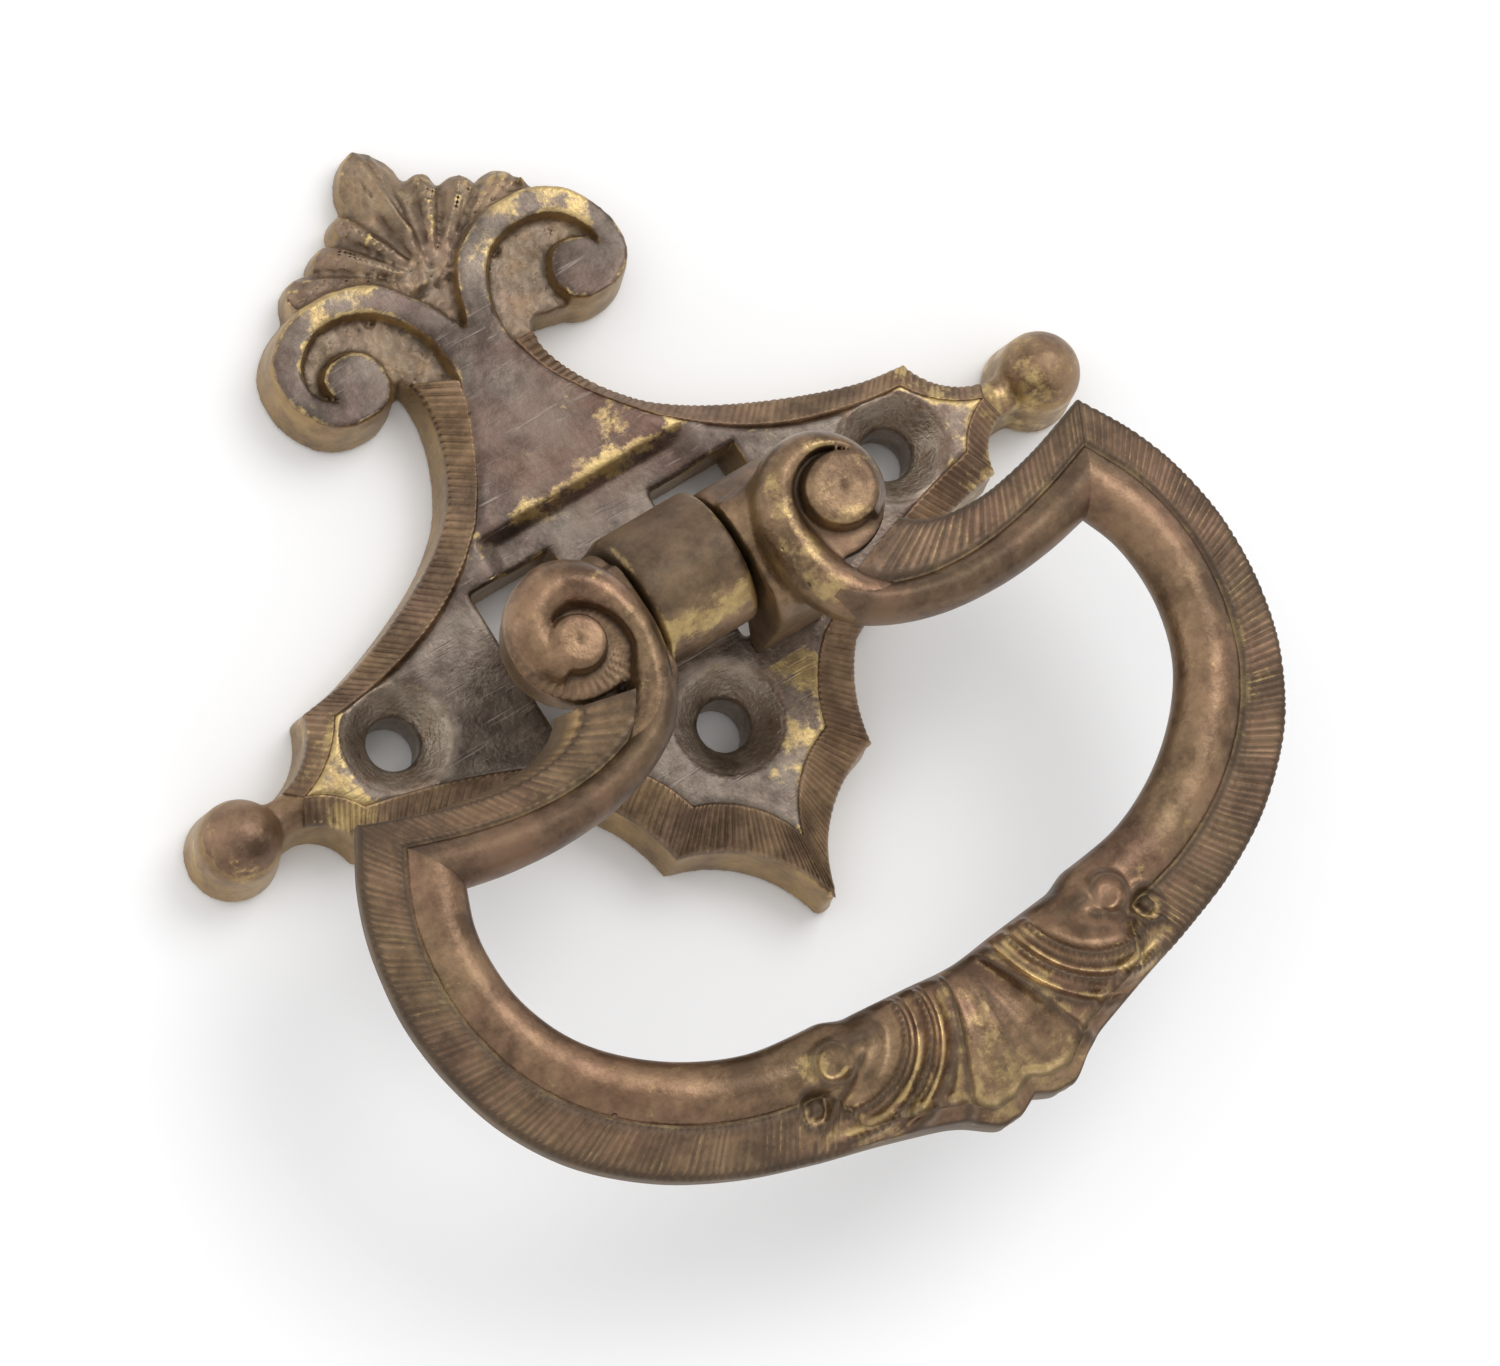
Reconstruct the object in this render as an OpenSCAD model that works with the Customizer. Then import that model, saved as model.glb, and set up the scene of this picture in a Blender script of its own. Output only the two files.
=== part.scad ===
// Cast bronze door knocker: a scrolled backplate with a fat hinge knuckle, a bail that
// swings on a pin through the knuckle, and the pin itself.
// Lies on its back: +Z leaves the door, +Y points up the door, +X to the right.
// The origin is on the back face, straight under the hinge axis.

/* [Backplate] */
// Height of the outer border above the back face
border_t = 7.6; // [6.6:0.2:8]
// Height of the faces, the raised field, the volute bands and their eyes
face_t = 9.3; // [8.6:0.1:10]
// Height of the leaf crest, which is cast thinner than the rest
crest_t = 6; // [5:0.5:6.5]

/* [Screw holes] */
// Distance between the two wing holes
wing_hole_gap = 64; // [62:0.5:66]
// How far the wing holes sit above the hinge axis
wing_hole_y = 1.6; // [1:0.1:2]
// How far the pendant hole sits below the hinge axis
pendant_hole_y = 14.7; // [14.5:0.1:15.5]
// Diameter of the screw holes
screw_d = 5.8; // [5:0.1:6]
// Diameter of the countersinks at the face
sink_d = 12.2; // [11:0.1:12.4]

/* [Hinge] */
// Height of the hinge axis above the back face
axis_z = 18.3; // [18:0.1:19]
// Diameter of the hinge knuckle
knuckle_d = 15.6; // [15:0.1:16]
// Length of the hinge knuckle along the axis
knuckle_len = 11.6; // [11:0.1:11.8]
// Diameter of the hinge pin
pin_d = 5; // [4.6:0.1:5.4]
// Radial clearance between the pin and the knuckle's bore
pin_play = 0.05; // [0.02:0.01:0.08]
// Gap between each bail lug and the knuckle
lug_gap = 0.4; // [0.3:0.1:0.6]
// Outer diameter of the bail lugs
lug_d = 13.6; // [13:0.1:14]

/* [Bail] */
// Height of the bail's middle plane above the back face
bail_z = 27.3; // [27:0.1:28]
// Half the thickness of the bail's round bar
bar_r = 3.6; // [3.3:0.1:3.8]
// Radius of the scroll heads
scroll_r = 7.2; // [7:0.1:7.4]

/* [Hidden] */
$fn = 64;
eps = 0.01;

wing_hole_x = wing_hole_gap / 2;
sink_depth = (sink_d - screw_d) / 2;
bore_d = pin_d + 2 * pin_play;

// centre of the clasp's C-scroll ribs, the middle of its crown and its height
clasp_c = [16.4, -50.2];
clasp_mid_y = -57.2;
rib_z = 4.6;

// ball finials at the wing ends
ball_x = 51.9;
ball_y = 0.8;
ball_base_r = 5.1;
ball_dome_r = 4.6;
ball_top_z = 11.2;
neck_w = 4;

// volutes: an outer rim and a flat-topped eye
volute_c = [14.3, 38.7];
volute_r = 7.3;
eye_c = [14.1, 36.2];
eye_r = 3.7;
volute_band = 1.9;

// windows in the plate beside the knuckle, which clear the lugs and scroll backs
window_x = 6.3;
window_w = 10.7;
window_y = [-8, 10.8];

// pocket behind the knuckle, with a sloping back wall
pocket_x = 13;
pocket_y = 15.4;
pocket_z = 8;

// bail lugs, their heels and the scroll heads above them
lug_x = [knuckle_len / 2 + lug_gap, 15.4];
heel_y = [-10.5, -6];
heel_gap = 0.05;
scroll_c = [15.5, -1.6];
scroll_eye_c = [17.1, -2];
scroll_eye_r = 4.2;
scroll_rise = 1;
pin_half = lug_x[1];

// Points of a round arc from a towards b, without b, that bulges to the left by h
function arc(a, b, h, n = 8) =
    let (d = b - a, c = norm(d), u = d / c, v = [-u[1], u[0]], r = (c * c / 4 + h * h) / (2 * h),
        m = (a + b) / 2 - v * (r - h), half = asin(c / 2 / r))
    [for (i = [0:n - 1]) let (t = half * (2 * i / n - 1)) m + v * r * cos(t) + u * r * sin(t)];

// Points of a circle about c from angle a0 to a1
function sweep_arc(c, r, a0, a1, n) =
    [for (i = [0:n]) let (a = a0 + (a1 - a0) * i / n) c + r * [cos(a), sin(a)]];

// One corner of a Catmull-Rom curve through the points p, at place t
function curve_at(p, t) =
    let (n = len(p) - 1, i = min(floor(t), n - 1), f = t - i,
        b = p[i], c = p[i + 1],
        a = i > 0 ? p[i - 1] : 2 * b - c,
        d = i + 2 <= n ? p[i + 2] : 2 * c - b)
    0.5 * (2 * b + (c - a) * f + (2 * a - 5 * b + 4 * c - d) * f * f
        + (3 * b - a - 3 * c + d) * f * f * f);

// Left edge of the waist, from the crotch under the volute to the wing corner
waist_top = [7.3, 32];
wing_corner = [38.8, 8.9];
neck_x = 45.3;
neck_lo = ball_y - neck_w / 2;
neck_hi = ball_y + neck_w / 2;
heel_corner = [41, -6.2];
pendant_top = [17.5, -14];
pendant_point = [12.5, -24.4];
pendant_tip = [0, -36.4];

// Right half of the outline, clockwise from the crest to the pendant's tip
outline_half = concat(
    arc([2, 46], [14.8, 45.9], 0.5, 4),
    sweep_arc(volute_c, volute_r, 86, -130, 24),
    arc([9.4, 33.2], waist_top, -1, 4),
    arc(waist_top, wing_corner, -6.4, 20),
    arc(wing_corner, [neck_x, neck_hi], -1.2, 6),
    [[neck_x, neck_hi], [ball_x, neck_hi], [ball_x, neck_lo]],
    arc([neck_x, neck_lo], heel_corner, -1, 6),
    arc(heel_corner, pendant_top, -1.2, 8),
    arc(pendant_top, pendant_point, -0.9, 6),
    arc(pendant_point, pendant_tip, -2.2, 10),
    [pendant_tip]);

// Right half of the wing and pendant faces, inside the border
face_half = concat(
    [[0, 17]],
    arc([12, 17.3], [36.6, 7], -3, 12),
    arc([36.6, 7], [44.5, ball_y], -0.9, 4),
    arc([44.5, ball_y], [38.6, -3.2], -0.6, 4),
    arc([38.6, -3.2], [14.2, -12], -1, 8),
    arc([14.2, -12], [8.7, -20.8], -0.8, 5),
    arc([8.7, -20.8], [0, -29.6], -1.6, 8),
    [[0, -29.6]]);

// Right half of the raised field, from the volute band down to the pocket
field_half = concat(
    [[0, 45]],
    arc([7, 44.5], [14.3, 45.8], 0.8, 4),
    arc([15.7, 43.4], [5.1, 33], -3, 8),
    arc([5.1, 33], [7.8, 23.2], -0.8, 6),
    arc([7.8, 23.2], [13.4, 16], -0.7, 6),
    [[13.4, 16], [0, pocket_y]]);

// Right half of the leaf crest: half the middle leaf, then three rounded lobes
crest_half = concat(
    arc([0, 59.3], [3, 56.4], 0.5, 4),
    arc([3, 56.4], [3.8, 53.4], 0.3, 3),
    arc([3.8, 53.4], [6.2, 51.2], 1.1, 5),
    arc([6.2, 51.2], [10.3, 49.3], 1.3, 5),
    arc([10.3, 49.3], [14.9, 45.2], 1.9, 6),
    [[14.9, 45.2], [14, 42]]);

// The whole outline from its right half, which starts and ends on or beside the Y axis
module both_sides(half) {
    polygon(concat(half, [for (i = [len(half) - 1:-1:0])
        if (half[i][0] > eps) [-half[i][0], half[i][1]]]));
}

module raised() {
    both_sides(face_half);
    both_sides(field_half);
    for (s = [0, 1]) mirror([s, 0]) volute_relief();
}

// The band that curls round the volute's recess, and the eye it ends in
module volute_relief() {
    difference() {
        translate(volute_c) circle(volute_r);
        translate(volute_c - [0.6, 0.4]) circle(volute_r - volute_band);
        translate(volute_c - [volute_r + 4, volute_r + 4]) square([8, volute_r + 4]);
    }
    translate(eye_c) circle(eye_r);
}

module ball() {
    translate([ball_x, ball_y, 0]) {
        cylinder(r1 = ball_base_r, r2 = ball_dome_r, h = ball_top_z - ball_dome_r);
        translate([0, 0, ball_top_z - ball_dome_r]) sphere(ball_dome_r);
    }
}

// The hinge knuckle: round above the axis, with a front wall that flares to the plate
module knuckle() {
    r = knuckle_d / 2;
    translate([-knuckle_len / 2, 0, axis_z]) rotate([90, 0, 90]) {
        cylinder(d = knuckle_d, h = knuckle_len);
        linear_extrude(knuckle_len)
            polygon([[r, 0], [r, 4 - axis_z], [-r - 1.8, 4 - axis_z], [-r, 0]]);
    }
}

module screw_hole(x, y) {
    translate([x, y, -1]) cylinder(d = screw_d, h = face_t + 2);
    translate([x, y, face_t - sink_depth])
        cylinder(d1 = screw_d, d2 = sink_d + 2, h = sink_depth + 1);
}

module pocket() {
    translate([-pocket_x, 0, 0]) rotate([90, 0, 90]) linear_extrude(2 * pocket_x)
        polygon([[6, pocket_z], [pocket_y - 2.2, pocket_z], [pocket_y + 0.4, 10.6], [6, 10.6]]);
}

module backplate() {
    color("darkgoldenrod")
    difference() {
        union() {
            difference() {
                union() {
                    linear_extrude(border_t) both_sides(outline_half);
                    linear_extrude(face_t) raised();
                    linear_extrude(crest_t) both_sides(crest_half);
                    for (s = [0, 1]) mirror([s, 0, 0]) ball();
                }
                pocket();
            }
            knuckle();
        }
        for (s = [-1, 1]) {
            screw_hole(s * wing_hole_x, wing_hole_y);
            translate([s > 0 ? window_x : -window_x - window_w, window_y[0], -1])
                cube([window_w, window_y[1] - window_y[0], 20]);
        }
        screw_hole(0, -pendant_hole_y);
        translate([-knuckle_len, 0, axis_z]) rotate([0, 90, 0])
            cylinder(d = bore_d, h = 2 * knuckle_len);
    }
}

// The bail's right half, as the two edges of its bar: the hatched flange's outer edge and
// the round bar's inner edge. The arm runs from the scroll to the mitred elbow.
arm_outer = [[20.5, -5.4], [22.3, -8], [25, -9.4], [28.5, -9.9], [32.5, -9.8], [38.5, -8.6],
    [45.6, -6.3]];
arm_inner = [[6.6, -6], [10.2, -13], [14.5, -16.3], [20.7, -18.4], [27.5, -19], [34, -18.5],
    [39.3, -17.5]];
bow_outer = [[45.6, -6.3], [49.2, -12.7], [51.3, -19], [52.2, -26], [51.6, -33], [49.6, -40],
    [45.5, -47], [39, -53], [31.5, -57.2], [24, -59.9], [16.5, -62], [8, -64.6], [0, -67]];
bow_inner = [[39.3, -17.5], [40.8, -21.5], [41.3, -25.5], [40.9, -30], [39.4, -34.5],
    [36.9, -38.3], [33.3, -41.8], [28.8, -44.8], [23.5, -47], [17.5, -47.9], [11.5, -48.2],
    [5.5, -48.6], [0, -49]];

// The bar's section: how far across from the inner edge, and how high from its middle
bar_section = [[0, 0], [0.05, 0.55], [0.15, 0.86], [0.33, 1], [0.5, 0.9], [0.64, 0.68],
    [0.97, 0.42], [1, 0.3], [1, -0.35], [0.95, -0.5], [0.64, -0.6], [0.5, -0.9], [0.33, -1],
    [0.15, -0.86], [0.05, -0.55]];

// A bar lofted between an inner and an outer edge, with k rings to each point
module bar(inner, outer, k = 3) {
    n = k * (len(inner) - 1);
    m = len(bar_section);
    rings = [for (i = [0:n]) let (a = curve_at(inner, i / k), b = curve_at(outer, i / k))
        for (s = bar_section) let (p = a + (b - a) * s[0]) [p[0], p[1], bail_z + bar_r * s[1]]];
    sides = [for (i = [0:n - 1], j = [0:m - 1]) let (j2 = (j + 1) % m)
        [i * m + j, i * m + j2, (i + 1) * m + j2, (i + 1) * m + j]];
    polyhedron(rings, concat(sides,
        [[for (j = [m - 1:-1:0]) j], [for (j = [0:m - 1]) n * m + j]]), convexity = 6);
}

// The shell clasp at the bottom of the bow: a crowned boss with a blunt tip
// One C-scroll rib of the clasp, standing on the crown
module rib(r, turn) {
    translate([clasp_c[0], clasp_c[1], bail_z]) rotate([0, 0, 176])
        rotate_extrude(angle = turn)
            polygon([[r - 0.8, 0], [r + 0.8, 0], [r + 0.8, rib_z - 0.5], [r + 0.3, rib_z],
                [r - 0.3, rib_z], [r - 0.8, rib_z - 0.5]]);
}

module clasp() {
    translate([0, clasp_mid_y, bail_z]) scale([2.5, 1.08, 0.56]) sphere(r = 7.4, $fn = 40);
    for (s = [0, 1]) mirror([s, 0, 0]) {
        rib(8, 92);
        rib(11, 76);
        translate([21, -55.6, bail_z]) cylinder(r1 = 2.6, r2 = 1.6, h = rib_z);
        translate([3.6, -61.5, bail_z - 3]) cylinder(r1 = 5, r2 = 4, h = 3 + rib_z);
        translate([1.8, -53, bail_z - 3]) cylinder(r1 = 4, r2 = 2.4, h = 3 + rib_z);
    }
}

module lug() {
    translate([lug_x[0], 0, axis_z]) rotate([90, 0, 90]) {
        cylinder(d = lug_d, h = lug_x[1] - lug_x[0]);
        linear_extrude(lug_x[1] - lug_x[0])
            polygon([[lug_d * 0.4, lug_d * 0.3], [lug_d * 0.3, bail_z - axis_z],
                [heel_y[0], bail_z - axis_z],
                [heel_y[0], face_t + heel_gap - axis_z], [heel_y[0] + 1.8, face_t + heel_gap - axis_z],
                [heel_y[1], -2]]);
    }
}

module scroll_head() {
    translate([scroll_c[0], scroll_c[1], bail_z - bar_r]) cylinder(r = scroll_r, h = 2 * bar_r);
    translate([scroll_eye_c[0], scroll_eye_c[1], bail_z])
        cylinder(r = scroll_eye_r, h = bar_r + scroll_rise);
}

module bail() {
    color("goldenrod")
    difference() {
        union() {
            for (s = [0, 1]) mirror([s, 0, 0]) {
                bar(arm_inner, arm_outer);
                bar(bow_inner, bow_outer);
                scroll_head();
                lug();
            }
            clasp();
        }
        translate([-lug_x[1] - 1, 0, axis_z]) rotate([0, 90, 0])
            cylinder(d = pin_d, h = 2 * lug_x[1] + 2);
    }
}

module hinge_pin() {
    color("dimgray")
    translate([-pin_half, 0, axis_z]) rotate([0, 90, 0]) cylinder(d = pin_d, h = 2 * pin_half);
}

backplate();
bail();
hinge_pin();
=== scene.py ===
import math

import bpy
import numpy as np
from mathutils import Matrix, Vector


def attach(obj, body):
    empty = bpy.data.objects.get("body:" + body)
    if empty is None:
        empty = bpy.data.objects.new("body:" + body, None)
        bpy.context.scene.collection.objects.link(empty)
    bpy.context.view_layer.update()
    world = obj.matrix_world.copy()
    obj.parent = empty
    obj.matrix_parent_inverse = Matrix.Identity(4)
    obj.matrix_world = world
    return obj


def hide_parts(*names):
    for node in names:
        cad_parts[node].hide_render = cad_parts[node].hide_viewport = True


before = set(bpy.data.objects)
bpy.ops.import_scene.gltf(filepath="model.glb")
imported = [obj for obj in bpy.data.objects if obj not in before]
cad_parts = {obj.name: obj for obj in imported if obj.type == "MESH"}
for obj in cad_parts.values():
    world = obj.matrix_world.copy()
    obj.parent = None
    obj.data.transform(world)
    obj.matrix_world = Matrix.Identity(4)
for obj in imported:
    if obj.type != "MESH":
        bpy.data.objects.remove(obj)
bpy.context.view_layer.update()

# Every shape below is worked out in millimetres in the part's own frame: the back of the plate is
# z = 0, +z points away from the door, +y to the leaf crest. make_mesh turns them into metres.
MM = 0.001
rng = np.random.default_rng(7)

# ---------------------------------------------------------------- camera
# Place and directions of the camera, from a fit to points marked on the photograph
CAM_AT = np.array([-222.33, -81.72, 716.65])
CAM_RIGHT = np.array([0.81872, -0.53454, 0.20968])
CAM_UP = np.array([0.48747, 0.84003, 0.23815])
CAM_FWD = np.array([0.30344, 0.09277, -0.94832])
LENS, SENSOR = 168.0, 36.0

cam_data = bpy.data.cameras.new("camera")
cam = bpy.data.objects.new("camera", cam_data)
bpy.context.scene.collection.objects.link(cam)
cam_data.lens = LENS
cam_data.sensor_width = SENSOR
cam_data.clip_start = 0.01
cam_data.clip_end = 20.0
rot = Matrix([[CAM_RIGHT[i], CAM_UP[i], -CAM_FWD[i]] for i in range(3)])
cam.matrix_world = Matrix.Translation(Vector(CAM_AT * MM)) @ rot.to_4x4()
bpy.context.scene.camera = cam


# ---------------------------------------------------------------- plane curves
def arc(a, b, h, n=10):
    """Points of a round arc from a to b, without b, that bulges h to the left."""
    a, b = np.array(a, float), np.array(b, float)
    if abs(h) < 1e-6:
        return [a + (b - a) * i / n for i in range(n)]
    d = b - a
    c = np.linalg.norm(d)
    u = d / c
    v = np.array([-u[1], u[0]])
    r = (c * c / 4 + h * h) / (2 * h)
    m = (a + b) / 2 - v * (r - h)
    half = math.asin(max(-1, min(1, c / 2 / r)))
    ts = [half * (2 * i / n - 1) for i in range(n)]
    return [m + v * r * math.cos(t) + u * r * math.sin(t) for t in ts]


def mirrored(half):
    """A closed outline from its right half, listed from the top down."""
    half = [np.array(p, float) for p in half]
    back = [np.array([-p[0], p[1]]) for p in reversed(half) if p[0] > 1e-3]
    return np.array(half + back)


def poly_sdf(px, py, poly):
    """Signed distance from grid points to a closed outline, negative inside."""
    d2 = np.full(px.shape, 1e9)
    inside = np.zeros(px.shape, bool)
    n = len(poly)
    for i in range(n):
        ax, ay = poly[i]
        bx, by = poly[(i + 1) % n]
        ex, ey = bx - ax, by - ay
        wx, wy = px - ax, py - ay
        t = np.clip((wx * ex + wy * ey) / (ex * ex + ey * ey + 1e-12), 0, 1)
        d2 = np.minimum(d2, (wx - t * ex) ** 2 + (wy - t * ey) ** 2)
        c1, c2 = (ay <= py), (by <= py)
        side = ex * wy - ey * wx
        inside ^= (c1 != c2) & ((side > 0) == (by > ay))
    return np.where(inside, -1.0, 1.0) * np.sqrt(d2)


def smin(a, b, k):
    """The smaller of two distances, blended over a width k."""
    h = np.clip(0.5 + 0.5 * (b - a) / k, 0, 1)
    return b + (a - b) * h - k * h * (1 - h)


def smax(a, b, k):
    return -smin(-a, -b, k)


def sstep(a, b, x):
    """Rises smoothly from 0 at a to 1 at b."""
    t = np.clip((x - a) / (b - a), 0, 1)
    return t * t * (3 - 2 * t)


def lumps(x, y, z, scale, seed):
    """Smooth pseudo-noise in -1..1 from a few sines, the same on every run."""
    waves, spread, full_height = 7, 1.6, 4.5
    r = np.random.default_rng(seed)
    out = np.zeros(np.broadcast(x, y, z).shape)
    for _ in range(waves):
        k = r.normal(size=3) / scale * spread
        out = out + np.sin(k[0] * x + k[1] * y + k[2] * z + r.uniform(0, 6.28))
    return out / full_height


# ---------------------------------------------------------------- volume to mesh
def surface_nets(f, lo, step):
    """A closed quad mesh of f = 0 (negative inside) on a regular grid."""
    s = f < 0
    nx, ny, nz = f.shape
    cx, cy, cz = nx - 1, ny - 1, nz - 1
    total = np.zeros((cx, cy, cz), np.uint8)
    for i in (0, 1):
        for j in (0, 1):
            for k in (0, 1):
                total += s[i:i + cx, j:j + cy, k:k + cz]
    active = (total > 0) & (total < 8)
    idx = np.full((cx, cy, cz), -1, np.int32)
    ii, jj, kk = np.nonzero(active)
    idx[ii, jj, kk] = np.arange(len(ii))
    acc = np.zeros((len(ii), 3))
    cnt = np.zeros(len(ii))
    corners = [(i, j, k) for i in (0, 1) for j in (0, 1) for k in (0, 1)]
    for a in corners:
        for ax in range(3):
            if a[ax]:
                continue
            b = list(a)
            b[ax] = 1
            fa = f[ii + a[0], jj + a[1], kk + a[2]]
            fb = f[ii + b[0], jj + b[1], kk + b[2]]
            cross = (fa < 0) != (fb < 0)
            t = np.where(cross, fa / np.where(fa == fb, 1, fa - fb), 0)
            p = np.array(a, float)[None, :].repeat(len(ii), 0)
            p[:, ax] += t
            acc += p * cross[:, None]
            cnt += cross
    verts = acc / cnt[:, None] + np.stack([ii, jj, kk], 1)
    verts = verts * step + np.array(lo)
    quads = []
    for ax in range(3):
        o1, o2 = (ax + 1) % 3, (ax + 2) % 3
        sl_a = [slice(1, -1)] * 3
        sl_b = [slice(1, -1)] * 3
        sl_a[ax] = slice(0, -1)
        sl_b[ax] = slice(1, None)
        change = s[tuple(sl_a)] != s[tuple(sl_b)]
        e = np.array(np.nonzero(change)).T
        if not len(e):
            continue
        g = e.copy()
        g[:, o1] += 1
        g[:, o2] += 1
        inside_first = s[g[:, 0], g[:, 1], g[:, 2]]
        q = []
        for d1, d2 in ((-1, -1), (0, -1), (0, 0), (-1, 0)):
            h = g.copy()
            h[:, o1] += d1
            h[:, o2] += d2
            q.append(idx[h[:, 0], h[:, 1], h[:, 2]])
        q = np.stack(q, 1)
        q[~inside_first] = q[~inside_first][:, ::-1]
        quads.append(q)
    return verts, np.concatenate(quads)


def relax(verts, quads, n, w):
    """Moves each point n times by the share w towards the mean of its neighbours."""
    m = len(verts)
    for _ in range(n):
        acc = np.zeros((m, 3))
        cnt = np.zeros(m)
        for k in range(4):
            a, b = quads[:, k], quads[:, (k + 1) % 4]
            for c in range(3):
                acc[:, c] += np.bincount(a, verts[b, c], m) + np.bincount(b, verts[a, c], m)
            cnt += np.bincount(a, minlength=m) + np.bincount(b, minlength=m)
        mean = acc / cnt[:, None]
        verts = verts + (mean - verts) * w
    return verts


def normals_of(verts, quads):
    """Unit normals at the points of a quad mesh."""
    p = verts[quads]
    n = np.cross(p[:, 2] - p[:, 0], p[:, 3] - p[:, 1])
    out = np.zeros_like(verts)
    for k in range(4):
        for c in range(3):
            out[:, c] += np.bincount(quads[:, k], n[:, c], len(verts))
    return out / (np.linalg.norm(out, axis=1)[:, None] + 1e-12)


def convexity(verts, quads, n=3):
    """How far each point stands out of its neighbourhood, in millimetres."""
    softened = relax(verts, quads, n, w=0.6)
    return np.einsum("ij,ij->i", verts - softened, normals_of(verts, quads))


def make_mesh(name, verts, quads, attrs, material, body):
    """A smooth-shaded quad mesh with one point attribute for each entry of attrs."""
    me = bpy.data.meshes.new(name)
    quads = np.asarray(quads)
    me.vertices.add(len(verts))
    me.vertices.foreach_set("co", (np.asarray(verts) * MM).astype(np.float32).ravel())
    me.loops.add(quads.size)
    me.loops.foreach_set("vertex_index", quads.astype(np.int32).ravel())
    me.polygons.add(len(quads))
    me.polygons.foreach_set("loop_start", np.arange(0, quads.size, 4, dtype=np.int32))
    me.polygons.foreach_set("loop_total", np.full(len(quads), 4, np.int32))
    me.polygons.foreach_set("use_smooth", np.ones(len(quads), bool))
    me.update(calc_edges=True)
    for key, values in attrs.items():
        at = me.attributes.new(key, "FLOAT", "POINT")
        at.data.foreach_set("value", np.asarray(values, np.float32))
    me.materials.append(material)
    ob = bpy.data.objects.new(name, me)
    bpy.context.scene.collection.objects.link(ob)
    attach(ob, body)
    return ob


# ---------------------------------------------------------------- materials
# Linear base colours of the layers that all three slots share
GOLD = (0.62, 0.45, 0.19)
DULL_GOLD = (0.36, 0.25, 0.11)
PURPLE = (0.115, 0.078, 0.066)
FLAT_GREY = (0.145, 0.120, 0.100)
SCRATCH = (0.34, 0.29, 0.25)
RED_OXIDE = (0.20, 0.085, 0.05)
DUST = (0.36, 0.30, 0.235)
OCHRE = ((0.19, 0.115, 0.05), (0.42, 0.275, 0.11))
# near-black brown for grime and painted shade
GRIME_AND_SHADE = (0.07, 0.05, 0.034)
CLOUDS = ((0.52, 0.49, 0.46), (1.30, 1.27, 1.22))


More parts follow.
